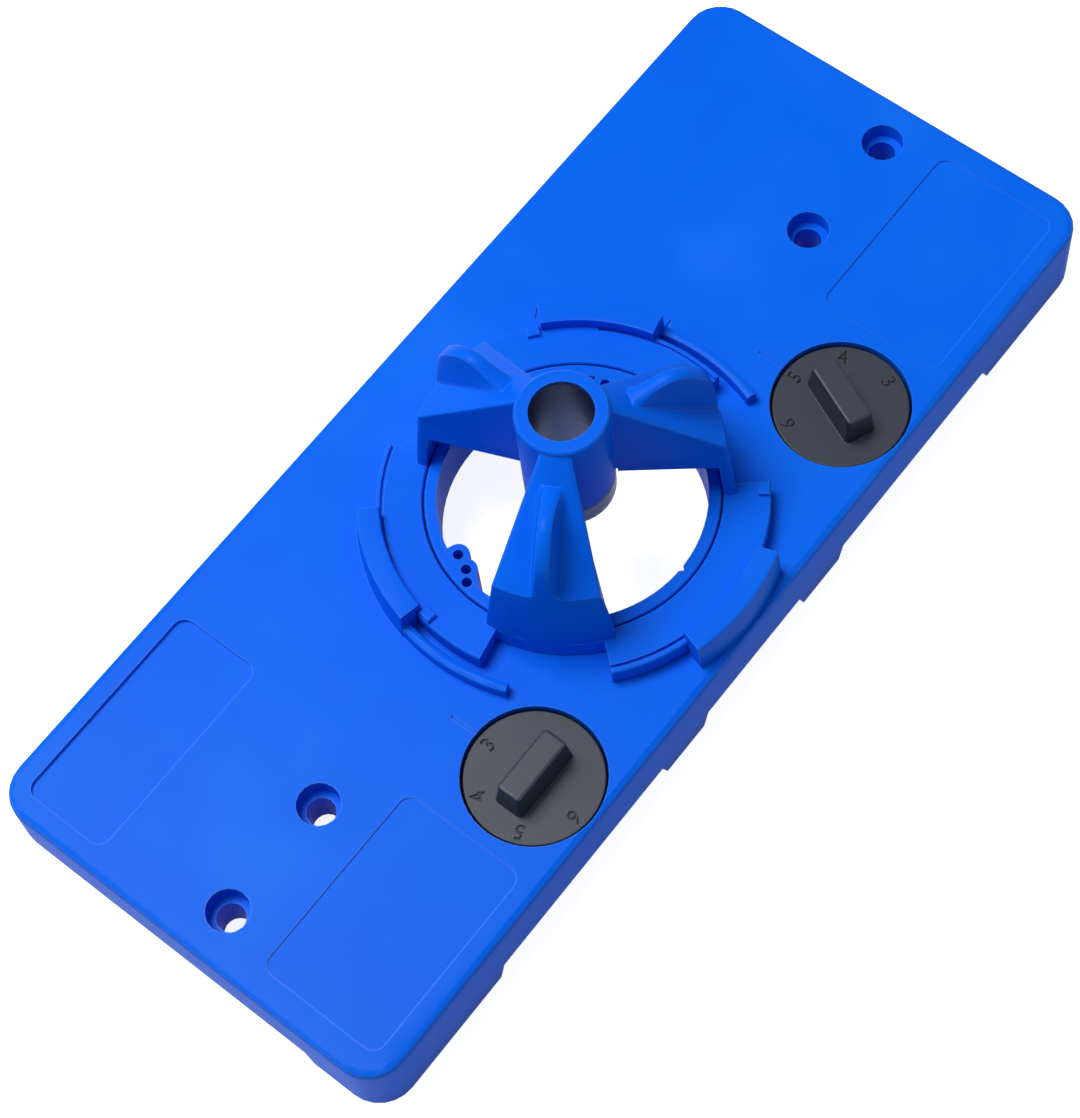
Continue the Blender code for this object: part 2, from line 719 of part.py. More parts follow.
def plate_holes(cutters):
    """Everything bored or pressed into the plate from above."""
    above = COLLAR_TOP_Z + CUT_MARGIN
    pieces = []
    for side in (-1.0, 1.0):
        for x, y in PILOT_HOLES:
            outline = circle(PILOT_RADIUS, SEGMENTS_PILOT, (side * x, CUP_Y + y))
            pieces.append(flat_piece("pilot_hole", [outline], -CUT_MARGIN, above, cutters))
        for x in SCREW_HOLE_X:
            profile = [
                (0.0, above),
                (COUNTERBORE_RADIUS, above),
                (COUNTERBORE_RADIUS, PLATE_TOP_Z - COUNTERBORE_DEPTH),
                (SCREW_HOLE_RADIUS, PLATE_TOP_Z - COUNTERBORE_DEPTH),
                (SCREW_HOLE_RADIUS, -CUT_MARGIN),
                (0.0, -CUT_MARGIN),
            ]
            centre = (side * x, CUP_Y)
            pieces.append(turned("screw_hole", profile, SEGMENTS_SMALL, cutters, centre))
        profile = [
            (0.0, above),
            (WELL_RADIUS, above),
            (WELL_RADIUS, WELL_FLOOR_Z),
            (HUB_BORE_RADIUS, WELL_FLOOR_Z),
            (HUB_BORE_RADIUS, -CUT_MARGIN),
            (0.0, -CUT_MARGIN),
        ]
        centre = (side * DIAL_X, DIAL_Y)
        pieces.append(turned("well_bore", profile, SEGMENTS_DIAL, cutters, centre))
    return joined("plate_holes", pieces, cutters)


def plate_marks(cutters):
    """Shallow panels, the line that each dial is read against and arrows by one clip."""
    above = PLATE_TOP_Z + CUT_MARGIN
    half_length = 0.5 * PLATE_LENGTH
    half_width = 0.5 * PLATE_WIDTH
    pieces = []
    left = LABEL_PANEL_INSET - half_length
    back = half_width - LABEL_PANEL_INSET
    length, width = LABEL_PANEL_SIZE
    outline = rounded_box(left, left + length, back - width, back, PANEL_CORNER)
    level = PLATE_TOP_Z - LABEL_PANEL_DEPTH
    pieces.append(flat_piece("label_panel", [outline], level, above, cutters))
    left = DIAL_X + WELL_RADIUS + FRONT_PANEL_TO_DIAL
    right = half_length - FRONT_PANEL_INSET[0]
    front = FRONT_PANEL_INSET[1] - half_width
    for ends in ((left, right), (-right, -left)):
        outline = rounded_box(*ends, front, front + FRONT_PANEL_WIDTH, PANEL_CORNER)
        level = PLATE_TOP_Z - FRONT_PANEL_DEPTH
        pieces.append(flat_piece("front_panel", [outline], level, above, cutters))
    for side in (-1.0, 1.0):
        start = DIAL_Y + WELL_RADIUS - POINTER_WIDTH
        low = (side * DIAL_X - 0.5 * POINTER_WIDTH, start, PLATE_TOP_Z - POINTER_DEPTH)
        high = (side * DIAL_X + 0.5 * POINTER_WIDTH, start + POINTER_LENGTH, above)
        pieces.append(box("pointer_line", low, high, cutters))
    base = CLIP_OUTER_RADIUS + CLIP_FLARE + ARROW_TO_CLIP
    half_turn = math.atan2(0.5 * ARROW_WIDTH, base)
    for turn in (-CLIP_HALF_ANGLE, CLIP_HALF_ANGLE):
        middle = CLIP_MIDDLE_ANGLE + turn
        ends = arc(base, middle - half_turn, middle + half_turn, 1, CUP_CENTRE)
        tip = arc(base + ARROW_LENGTH, middle, middle, 1, CUP_CENTRE)[0]
        level = PLATE_TOP_Z - ARROW_DEPTH
        pieces.append(flat_piece("arrow", [[ends[0], tip, ends[1]]], level, above, cutters))
    return joined("plate_marks", pieces, cutters)


def opening_cut(cutters):
    """The round opening, with a small notch that marks the plate's middle."""
    half = math.asin(0.5 * CENTRE_NOTCH_WIDTH / OPENING_RADIUS)
    start = -0.5 * math.pi + half
    points = arc(OPENING_RADIUS, start, start + math.tau - 2.0 * half, SEGMENTS_LARGE, CUP_CENTRE)
    points.append((0.0, CUP_Y - OPENING_RADIUS - CENTRE_NOTCH_DEPTH))
    above = COLLAR_TOP_Z + CUT_MARGIN
    return flat_piece("opening_cut", [points], -CUT_MARGIN, above, cutters)


def base_plate(parts, cutters, material):
    plate = flat_piece("base_plate", [plate_outline()], 0.0, PLATE_TOP_Z, parts)
    round_edges(plate, PLATE_EDGE_RADIUS, 2, sharp_at(PLATE_TOP_Z))
    combine(plate, "DIFFERENCE", [rim_cavity(cutters), *foot_relief(cutters)])
    combine(plate, "UNION", [plate_bosses(cutters), *plate_ribs(cutters)])
    clips = joined("clips", [clip(angle, cutters) for angle in clip_angles()], cutters)
    combine(plate, "UNION", [clips, finger_ribs(cutters)])
    combine(plate, "DIFFERENCE", [opening_cut(cutters)])
    combine(plate, "UNION", pilot_pads(cutters))
    combine(plate, "DIFFERENCE", [plate_holes(cutters), plate_marks(cutters)])
    settle(plate)
    finish(plate, material)
    return plate


def flange_ring(parts):
    """The guide's ring, which drops over the collar of the plate."""
    edge = FLANGE_EDGE
    profile = [
        (FLANGE_INNER_RADIUS + edge, COLLAR_TOP_Z),
        (FLANGE_OUTER_RADIUS - edge, COLLAR_TOP_Z),
        (FLANGE_OUTER_RADIUS, COLLAR_TOP_Z - edge),
        (FLANGE_OUTER_RADIUS, FLANGE_BOTTOM_Z),
        (FLANGE_INNER_RADIUS, FLANGE_BOTTOM_Z),
        (FLANGE_INNER_RADIUS, COLLAR_TOP_Z - edge),
    ]
    return turned("bit_guide", profile, SEGMENTS_LARGE, parts, CUP_CENTRE)


def flange_lugs(cutters):
    """Three wide lugs that turn in under the clips."""
    edge = FLANGE_EDGE
    root = FLANGE_OUTER_RADIUS - 2.0 * edge
    profile = [
        (root, FLANGE_BOTTOM_Z),
        (root, COLLAR_TOP_Z),
        (LUG_RADIUS - edge, COLLAR_TOP_Z),
        (LUG_RADIUS, COLLAR_TOP_Z - edge),
        (LUG_RADIUS, FLANGE_BOTTOM_Z),
    ]
    pieces = []
    for middle in clip_angles():
        start = middle - LUG_HALF_ANGLE
        end = middle + LUG_HALF_ANGLE
        pieces.append(swept("lug", profile, start, end, LUG_STEPS, cutters))
    return joined("lugs", pieces, cutters)


def lug_grooves(cutters):
    """The groove that makes the leading half of each lug's rim springy."""
    outer = LUG_RADIUS - LUG_GROOVE_INSET
    level = COLLAR_TOP_Z - LUG_GROOVE_DEPTH
    pieces = []
    for middle in clip_angles():
        start = middle - LUG_HALF_ANGLE - LUG_GROOVE_OPEN_ANGLE
        outline = sector(outer - LUG_GROOVE_WIDTH, outer, start, middle, GROOVE_STEPS)
        pieces.append(
            flat_piece("lug_groove", [outline], level, COLLAR_TOP_Z + CUT_MARGIN, cutters)
        )
    return joined("lug_grooves", pieces, cutters)


def twist_stops(cutters):
    """Raised stops on the flange. Two meet the clips' ends when the guide is locked,
    the third when it has turned far enough to lift out."""
    outer = LUG_RADIUS - STOP_TO_LUG_EDGE
    inner = outer - STOP_WIDTH
    locked = clip_angles()[:2]
    starts = [angle + CLIP_HALF_ANGLE + STOP_PLAY_ANGLE for angle in locked]
    starts.append(clip_angles()[2] + LUG_HALF_ANGLE - STOP_LENGTH_ANGLE - STOP_END_ANGLE)
    pieces = []
    for start in starts:
        outline = sector(inner, outer, start, start + STOP_LENGTH_ANGLE, STOP_STEPS)
        top = COLLAR_TOP_Z + STOP_RISE
        piece = flat_piece("twist_stop", [outline], COLLAR_TOP_Z - STOP_RISE, top, cutters)
        round_edges(piece, STOP_EDGE, 1, sharp_at(top))
        pieces.append(piece)
    return joined("twist_stops", pieces, cutters)


def arm_height(radius):
    """Rise of an arm's sloping top over the plate at a distance from the tower's axis."""
    share = (radius - TOWER_RADIUS) / (ARM_SHOULDER_RADIUS - TOWER_RADIUS)
    start = TOWER_RISE - ARM_TOP_DROP
    return start + (ARM_SHOULDER_RISE - start) * share


def arm_profile():
    """Side view of an arm: radius, rise over the plate, height of the grip's crest over that,
    how far the grip is past its flare, and which way the side edges are rounded, outwards
    and upwards."""
    profile = [(ARM_INNER_RADIUS, arm_height(ARM_INNER_RADIUS), 0.0, 0.0, 0.0, 1.0)]
    for inset, crest in GRIP_CREST:
        radius = ARM_SHOULDER_RADIUS - inset
        past = min(1.0, (GRIP_CREST[0][0] - inset) / GRIP_FLARE_LENGTH)
        profile.append((radius, arm_height(radius), crest, past, 0.0, 1.0))
    flange_low = FLANGE_BOTTOM_Z - PLATE_TOP_Z
    foot_inner = FLANGE_INNER_RADIUS + ARM_FOOT_SETBACK
    soft = ARM_SHOULDER_ROUND
    near = ROUND_MIDDLE * soft
    wall = ARM_SHOULDER_RADIUS + ARM_WALL_DRAFT * soft / ARM_SHOULDER_RISE
    profile += [
        (wall - near, ARM_SHOULDER_RISE - near, 0.0, 1.0, 1.0 - ROUND_MIDDLE, 1.0 - ROUND_MIDDLE),
        (wall, ARM_SHOULDER_RISE - soft, 0.0, 1.0, 1.0, 0.0),
        (ARM_FOOT_RADIUS, flange_low, 0.0, 1.0, 1.0, 0.0),
        (foot_inner, flange_low, 0.0, 1.0, 0.0, 0.0),
        (foot_inner - ARM_FOOT_DRAFT, ARM_UNDERSIDE_RISE, 0.0, 1.0, 0.0, 0.0),
        (TOWER_RADIUS + RUN_GAP, ARM_UNDERSIDE_RISE, 0.0, 0.0, 0.0, 0.0),
        (TOWER_RADIUS + RUN_GAP, TOWER_FOOT_RISE, 0.0, 0.0, 0.0, 0.0),
        (ARM_INNER_RADIUS, TOWER_FOOT_RISE, 0.0, 0.0, 0.0, 0.0),
    ]
    return profile


def arm_half_width(radius, rise):
    """Half an arm's width, which grows with the radius and a little towards the foot."""
    draft = min(1.0, max(0.0, rise / ARM_SHOULDER_RISE))
    return radius * (ARM_FOOT_HALF_ANGLE + (ARM_TOP_HALF_ANGLE - ARM_FOOT_HALF_ANGLE) * draft)


def arm_section(half_width, past):
    """Points across half an arm: distance from its middle line, what share of the grip's
    crest stands there, and how far the crest's round edge has begun. The grip is a narrow
    wall; near the tower it flares out towards the arm's edges, which leaves a finger
    hollow on each side of it."""
    flat = half_width - ARM_EDGE_RADIUS
    room = GRIP_ROOM_SHARE * flat
    full = GRIP_HALF_WIDTH + GRIP_FLANK + GRIP_FILLET
    scale = min(1.0, room / full)
    top = scale * GRIP_HALF_WIDTH + max(0.0, room - full) * (1.0 - past) ** 2
    flank_end = top + scale * GRIP_FLANK
    foot_end = flank_end + scale * GRIP_FILLET
    return [
        (0.0, 1.0, 0.0),
        (0.6 * top, 1.0, 0.25),
        (top, 1.0, 1.0),
        (top + 0.3 * scale * GRIP_FLANK, 0.84, 1.0),
        (flank_end, 0.16, 0.0),
        (flank_end + 0.4 * scale * GRIP_FILLET, 0.04, 0.0),
        (foot_end, 0.0, 0.0),
        (0.5 * (foot_end + flat), 0.0, 0.0),
        (flat, 0.0, 0.0),
        (flat + 0.7 * ARM_EDGE_RADIUS, 0.0, 0.0),
        (half_width, 0.0, 0.0),
    ]


def arm_blank(cutters):
    """One arm along +X from the tower's axis, skinned over its side view. Every section
    across it has the same number of points, spread to suit the grip's width there."""
    profile = arm_profile()
    sections = [
        arm_section(arm_half_width(radius, rise), past)
        for radius, rise, _, past, _, _ in profile
    ]
    last = len(sections[0]) - 1
    work = bmesh.new()
    rows = []
    for column in range(-last, last + 1):
        side = math.copysign(1.0, column)
        row = []
        for station, section in zip(profile, sections):
            radius, rise, crest, _, outwards, upwards = station
            half_width = section[-1][0]
            across, share, crowned = section[abs(column)]
            edge = max(0.0, across - half_width + ARM_EDGE_RADIUS)
            drop = ARM_EDGE_RADIUS - math.sqrt(max(0.0, ARM_EDGE_RADIUS ** 2 - edge ** 2))
            crown = min(GRIP_CROWN, 0.3 * crest) * crowned
            reach = radius - drop * outwards
            level = PLATE_TOP_Z + rise + crest * share - crown - drop * upwards
            angle = side * across / radius
            place = (reach * math.cos(angle), reach * math.sin(angle), level)
            row.append(work.verts.new(place))
        rows.append(row)
    skin_rows(work, rows)
    mesh = bpy.data.meshes.new("arm")
    work.to_mesh(mesh)
    work.free()
    return link_mesh("arm", mesh, cutters)


def turned_copies(name, item, angles, cutters):
    """Copies of a piece about the cup's axis, joined; the first piece is used up."""
    pieces = []
    for angle in angles:
        copy = link_mesh(name, item.data.copy(), cutters)
        place = Matrix.Translation((CUP_CENTRE[0], CUP_CENTRE[1], 0.0))
        copy.data.transform(place @ Matrix.Rotation(angle, 4, "Z"))
        pieces.append(copy)
    bpy.data.objects.remove(item, do_unlink=True)
    return joined(name, pieces, cutters)


def tower_outer(cutters):
    profile = [
        (0.0, TOWER_TOP_Z),
        (TOWER_RADIUS - TOWER_EDGE, TOWER_TOP_Z),
        (TOWER_RADIUS, TOWER_TOP_Z - TOWER_EDGE),
        (TOWER_RADIUS, TOWER_FOOT_Z),
        (0.0, TOWER_FOOT_Z),
    ]
    return turned("tower", profile, SEGMENTS_MEDIUM, cutters, CUP_CENTRE)


def tower_bore(cutters):
    """Bore for the bush, closed at the top by a lip that the bush is pushed up against."""
    profile = [
        (0.0, TOWER_TOP_Z + CUT_MARGIN),
        (BUSH_BORE_RADIUS, TOWER_TOP_Z + CUT_MARGIN),
        (BUSH_BORE_RADIUS, TOWER_TOP_Z - TOWER_LIP),
        (BUSH_SEAT_RADIUS, TOWER_TOP_Z - TOWER_LIP),
        (BUSH_SEAT_RADIUS, PLATE_TOP_Z),
        (0.0, PLATE_TOP_Z),
    ]
    return turned("tower_bore", profile, SEGMENTS_MEDIUM, cutters, CUP_CENTRE)


def bit_guide(parts, cutters, material):
    guide = flange_ring(parts)
    combine(guide, "UNION", [flange_lugs(cutters)])
    combine(guide, "DIFFERENCE", [lug_grooves(cutters)])
    arms = turned_copies("arms", arm_blank(cutters), arm_angles(), cutters)
    combine(guide, "UNION", [arms, tower_outer(cutters), twist_stops(cutters)])
    combine(guide, "DIFFERENCE", [tower_bore(cutters)])
    settle(guide)
    guide.data.transform(Matrix.Translation((-CUP_CENTRE[0], -CUP_CENTRE[1], 0.0)))
    guide.location = (CUP_CENTRE[0], CUP_CENTRE[1], 0.0)
    finish(guide, material)
    return guide


def guide_bush(parts, guide, material):
    top = TOWER_TOP_Z - TOWER_LIP - RUN_GAP
    collar_top = TOWER_FOOT_Z - RUN_GAP
    profile = [
        (BUSH_OUTER_RADIUS, top),
        (BUSH_OUTER_RADIUS, collar_top),
        (TOWER_RADIUS, collar_top),
        (TOWER_RADIUS, BUSH_BOTTOM_Z + TOWER_EDGE),
        (TOWER_RADIUS - TOWER_EDGE, BUSH_BOTTOM_Z),
        (BUSH_BORE_RADIUS, BUSH_BOTTOM_Z),
        (BUSH_BORE_RADIUS, top),
    ]
    bush = turned("guide_bush", profile, SEGMENTS_MEDIUM, parts)
    bush.parent = guide
    finish(bush, material)
    return bush


def dial_grip(cutters):
    """The bar that the fingers turn, tapered for the mould and rounded along its edges."""
    work = bmesh.new()
    bmesh.ops.create_cube(work, size=1.0)
    base_z = DIAL_TOP_Z - 0.5 * DIAL_THICKNESS
    top_z = DIAL_TOP_Z + GRIP_BAR_HEIGHT
    for vertex in work.verts:
        at_top = vertex.co.z > 0.0
        spread = 0.0 if at_top else GRIP_BAR_DRAFT
        vertex.co.x = math.copysign(0.5 * GRIP_BAR_LENGTH + spread, vertex.co.x)
        vertex.co.y = math.copysign(0.5 * GRIP_BAR_WIDTH + spread, vertex.co.y)
        vertex.co.z = top_z if at_top else base_z
    upright = [edge for edge in work.edges if abs(edge.verts[0].co.z - edge.verts[1].co.z) > MM]
    bmesh.ops.bevel(
        work, geom=upright, offset=GRIP_BAR_ROUND, segments=3, profile=0.5, affect="EDGES"
    )
    top = [edge for edge in work.edges if all(v.co.z > top_z - 0.1 * MM for v in edge.verts)]
    bmesh.ops.bevel(
        work, geom=top, offset=0.5 * GRIP_BAR_ROUND, segments=2, profile=0.5, affect="EDGES"
    )
    mesh = bpy.data.meshes.new("dial_grip")
    work.to_mesh(mesh)
    work.free()
    return link_mesh("dial_grip", mesh, cutters)


def dial_digits(cutters):
    """The offsets in whole millimetres, cut round the dial with their tops outwards."""
    pieces = []
    for index, offset in enumerate(OFFSETS):
        curve = bpy.data.curves.new("digit", "FONT")
        curve.body = str(round(offset / MM))
        curve.size = DIGIT_SIZE
        curve.align_x = "CENTER"
        curve.align_y = "CENTER"
        curve.resolution_u = 2
        curve.extrude = DIGIT_DEPTH
        source = link_mesh("digit_outline", curve, cutters)
        mesh = bake(source)
        bpy.data.objects.remove(source, do_unlink=True)
        turn = Matrix.Rotation(index * DIAL_STEP, 4, "Z")
        mesh.transform(turn @ Matrix.Translation((0.0, DIGIT_RADIUS, DIAL_TOP_Z)))
        pieces.append(link_mesh("digit", mesh, cutters))
    return joined("digits", pieces, cutters)


def dial_mesh(parts, cutters):
    """Disc, grip, hub and square key of a dial, about its own axis."""
    profile = [
        (0.0, DIAL_TOP_Z),
        (DIAL_RADIUS - DIAL_EDGE, DIAL_TOP_Z),
        (DIAL_RADIUS, DIAL_TOP_Z - DIAL_EDGE),
        (DIAL_RADIUS, DIAL_UNDER_Z),
        (HUB_RADIUS, DIAL_UNDER_Z),
        (HUB_RADIUS, HUB_BOTTOM_Z),
        (0.0, HUB_BOTTOM_Z),
    ]
    dial = turned("dial_blank", profile, SEGMENTS_DIAL, parts)
    half = 0.5 * KEY_SIDE
    key = box("key", (-half, -half, KEY_BOTTOM_Z), (half, half, HUB_BOTTOM_Z + MM), cutters)
    bore_top = DIAL_UNDER_Z - 0.5 * MM
    bore = flat_piece(
        "hub_bore", [circle(SHANK_RADIUS + RUN_GAP, SEGMENTS_SMALL)], 0.0, bore_top, cutters
    )
    combine(dial, "UNION", [dial_grip(cutters), key])
    combine(dial, "DIFFERENCE", [bore, dial_digits(cutters)])
    settle(dial)
    return dial


def cam_outline():
    """A round cam with one flat for each offset, each at its own distance from the axis."""
    reach = DIAL_TO_CUP - CUP_RADIUS
    points = []
    for step in range(SEGMENTS_LARGE):
        angle = math.tau * step / SEGMENTS_LARGE
        radius = CAM_RADIUS
        for index, offset in enumerate(OFFSETS):
            facing = math.cos(angle - 0.5 * math.pi - index * DIAL_STEP)
            if facing > 0.1:
                radius = min(radius, (reach - offset) / facing)
        points.append((radius * math.cos(angle), radius * math.sin(angle)))
    return points


def cam_mesh(parts, cutters):
    cam = flat_piece("cam_blank", [cam_outline()], CAM_BOTTOM_Z, CAM_TOP_Z, parts)
    half = 0.5 * KEY_SIDE + RUN_GAP
    above = CAM_TOP_Z + CUT_MARGIN
    socket = box("socket", (-half, -half, CAM_SOCKET_Z), (half, half, above), cutters)
    recess = flat_piece(
        "head_recess", [circle(WASHER_RADIUS + RUN_GAP, SEGMENTS_MEDIUM)],
        -CUT_MARGIN, CAM_RECESS_Z, cutters,
    )
    hole = flat_piece(
        "cam_hole", [circle(SHANK_RADIUS + RUN_GAP, SEGMENTS_SMALL)], 0.0, CAM_TOP_Z, cutters
    )
    combine(cam, "DIFFERENCE", [socket, recess, hole])
    settle(cam)
    return cam


def screw_mesh(parts, cutters):
    """Pan-head screw, driven from below, with a cross recess."""
    head_top = HEAD_BOTTOM_Z + HEAD_HEIGHT
    tip = head_top + SHANK_LENGTH
    profile = [
        (0.0, tip),
        (0.6 * SHANK_RADIUS, tip),
        (SHANK_RADIUS, tip - 0.5 * SHANK_RADIUS),
        (SHANK_RADIUS, head_top),
        (HEAD_RADIUS, head_top),
        (HEAD_RADIUS, HEAD_BOTTOM_Z + 0.5 * HEAD_HEIGHT),
        (0.75 * HEAD_RADIUS, HEAD_BOTTOM_Z),
        (0.0, HEAD_BOTTOM_Z),
    ]
    screw = turned("screw_blank", profile, SEGMENTS_SMALL, parts)
    half = 0.5 * CROSS_WIDTH
    reach = 0.5 * CROSS_LENGTH
    outline = [
        (reach, -half), (reach, half), (half, half), (half, reach), (-half, reach), (-half, half),
        (-reach, half), (-reach, -half), (-half, -half), (-half, -reach), (half, -reach),
        (half, -half),
    ]
    top = HEAD_BOTTOM_Z + CROSS_DEPTH
    cross = flat_piece("cross", [outline], -CUT_MARGIN, top, cutters)
    cross.data.transform(Matrix.Rotation(CROSS_TURN, 4, "Z"))
    combine(screw, "DIFFERENCE", [cross])
    settle(screw)
    return screw


def washer_mesh(parts):
    outlines = [
        circle(WASHER_RADIUS, SEGMENTS_MEDIUM),
        circle(SHANK_RADIUS + RUN_GAP, SEGMENTS_SMALL),
    ]
    return flat_piece("washer_blank", outlines, WASHER_Z, WASHER_Z + WASHER_THICKNESS, parts)


def wave_mesh(parts):
    """A flat ring whose height rises and falls round it, which presses the dial up."""
    inner = WAVE_OUTER_RADIUS - WAVE_WIDTH
    low = WELL_FLOOR_Z + RUN_GAP + WAVE_SWING
    outlines = [circle(WAVE_OUTER_RADIUS, SEGMENTS_MEDIUM), circle(inner, SEGMENTS_MEDIUM)]
    ring = flat_piece("wave_blank", outlines, low, low + WAVE_THICKNESS, parts)
    for vertex in ring.data.vertices:
        angle = math.atan2(vertex.co.y, vertex.co.x)
        vertex.co.z += WAVE_SWING * math.sin(WAVE_COUNT * angle)
    return ring


def dial_set(parts, cutters, materials):
    """Dial, cam, screw and washers, made once and placed on both sides."""
    blanks = {
        "dial": (dial_mesh(parts, cutters), "dial"),
        "edge_cam": (cam_mesh(parts, cutters), "cam"),
        "cam_screw": (screw_mesh(parts, cutters), "steel"),
        "flat_washer": (washer_mesh(parts), "steel"),
        "wave_washer": (wave_mesh(parts), "steel"),
    }
    for blank, finish_name in blanks.values():
        finish(blank, materials[finish_name])
    for side, name, setting in ((-1.0, "left", LEFT_SETTING), (1.0, "right", RIGHT_SETTING)):
        axis = bpy.data.objects.new("dial_axis_" + name, None)
        axis.location = (side * DIAL_X, DIAL_Y, 0.0)
        parts.objects.link(axis)
        for kind, (blank, _) in blanks.items():
            piece = link_mesh(kind + "_" + name, blank.data, parts)
            piece.parent = axis
            if kind != "wave_washer":
                piece.rotation_euler.z = -setting * DIAL_STEP
    for blank, _ in blanks.values():
        bpy.data.objects.remove(blank, do_unlink=True)


def main():
    clear_scene()
    parts = new_collection(PARTS)
    cutters = new_collection(CUTTERS)
    materials = {
        "plate": plain_material("blue_abs", (0.005, 0.115, 0.80), 0.42),
        "bush": plain_material("bush_grey", (0.035, 0.04, 0.06), 0.38),
        "dial": plain_material("dial_black", (0.06, 0.062, 0.07), 0.48),
        "cam": plain_material("cam_black", (0.05, 0.052, 0.06), 0.5),
        "steel": plain_material("zinc_steel", (0.62, 0.62, 0.6), 0.3, 1.0),
    }
    base_plate(parts, cutters, materials["plate"])
    guide = bit_guide(parts, cutters, materials["plate"])
    guide_bush(parts, guide, materials["bush"])
    dial_set(parts, cutters, materials)


main()
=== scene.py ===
# %% [markdown]
# A hinge boring jig lies flat on a cabinet door and steers a drill for the hinge's cup. Its
# frame comes ready-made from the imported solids, so this lesson is about surfaces: moulded
# blue plastic, dark dials with cut digits, a turned steel bush and plated screws. The frame
# could be rebuilt here piece by piece, but loading it keeps every size where the maker put it.

# %% Load the frame
import json
import math

import bpy
from mathutils import Matrix, Vector

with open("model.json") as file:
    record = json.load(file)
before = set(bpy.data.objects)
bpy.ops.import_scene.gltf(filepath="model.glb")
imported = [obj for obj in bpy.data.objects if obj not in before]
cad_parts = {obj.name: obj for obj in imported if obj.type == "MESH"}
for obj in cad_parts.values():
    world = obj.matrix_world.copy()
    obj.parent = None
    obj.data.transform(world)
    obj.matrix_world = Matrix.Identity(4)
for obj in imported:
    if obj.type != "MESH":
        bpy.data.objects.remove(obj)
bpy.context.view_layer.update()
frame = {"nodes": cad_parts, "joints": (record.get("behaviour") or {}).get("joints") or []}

MM = 0.001
nodes = frame["nodes"]
print("nodes:", ", ".join(sorted(nodes)))

# %% [markdown]
# The shader of the dials darkens whatever is cut into their face, so it has to know how
# high the face lies. Typing the number would work until someone changes the jig. The
# dial's joint stands at that height, so it is read off the frame here and used by name.

# %% Measure the frame
joints = {joint["name"]: joint for joint in frame["joints"]}
dial_face = joints["dial_left_turn"]["pos_m"][2]
print("dial face at", round(dial_face / MM, 2), "mm")

# %% [markdown]
# The photograph looks steeply down on the jig from its front left corner. A camera can be
# placed by eye, but here its place was worked out from the plate's straight edges and the
# round opening, so it is written as a position, the point it looks at and a small roll.

# %% Place the camera
IMAGE_HEIGHT = 1118
SENSOR_HEIGHT = 36.0
CAMERA_PLACE = Vector((-170.4, -171.7, 495.1)) * MM
CAMERA_TARGET = Vector((-12.67, -5.49, 17.0)) * MM
CAMERA_ROLL = math.radians(9.064)
FOCAL_PIXELS = 2816.9


def place_camera():
    data = bpy.data.cameras.new("camera")
    data.sensor_fit = "VERTICAL"
    data.sensor_height = SENSOR_HEIGHT
    data.lens = FOCAL_PIXELS / IMAGE_HEIGHT * SENSOR_HEIGHT
    data.clip_start = 10 * MM
    camera = bpy.data.objects.new("camera", data)
    bpy.context.scene.collection.objects.link(camera)
    look = (CAMERA_TARGET - CAMERA_PLACE).to_track_quat("-Z", "Y").to_matrix().to_4x4()
    roll = Matrix.Rotation(-CAMERA_ROLL, 4, "Z")
    camera.matrix_world = Matrix.Translation(CAMERA_PLACE) @ look @ roll
    bpy.context.scene.camera = camera
    return camera


camera = place_camera()
print("lens:", round(camera.data.lens, 1), "mm")

# %% [markdown]
# Shader arithmetic is easier to read as sums than as a web of nodes. This small class wraps
# a socket, and each operator adds the Math node that does the sum. The alternative, naming
# and linking every node by hand, gives the same picture in five times the lines.

# %% Write shader maths as expressions
class Value:
    """One number of a shader. Sums with it become Math nodes."""

    def __init__(self, paint, socket):
        self.paint = paint
        self.socket = socket

    def sum(self, operation, first, second):
        node = self.paint.node("ShaderNodeMath", {"operation": operation}, {0: first, 1: second})
        return Value(self.paint, node.outputs[0])

    def __add__(self, other):
        return self.sum("ADD", self, other)

    def __radd__(self, other):
        return self.sum("ADD", other, self)

    def __rsub__(self, other):
        return self.sum("SUBTRACT", other, self)

    def __mul__(self, other):
        return self.sum("MULTIPLY", self, other)

    def __or__(self, other):
        return self.sum("MAXIMUM", self, other)


class NodeTree:
    """A tree of nodes under construction. Paints and the world are both made with it."""

    def __init__(self, owner):
        owner.use_nodes = True
        self.tree = owner.node_tree

    def node(self, kind, settings=None, inputs=None):
        node = self.tree.nodes.new(kind)
        for name, value in (settings or {}).items():
            setattr(node, name, value)
        for name, value in (inputs or {}).items():
            self.feed(node.inputs[name], value)
        return node

    def feed(self, socket, value):
        if isinstance(value, Value):
            self.tree.links.new(value.socket, socket)
        elif isinstance(value, bpy.types.NodeSocket):
            self.tree.links.new(value, socket)
        else:
            socket.default_value = value

    def seen_straight(self):
        """1 for what the camera sees, also in a reflection or through glass, else 0."""
        rays = self.node("ShaderNodeLightPath").outputs
        camera, glossy, through = (
            Value(self, rays["Is %s Ray" % kind]) for kind in ("Camera", "Glossy", "Transmission")
        )
        return camera | glossy | through


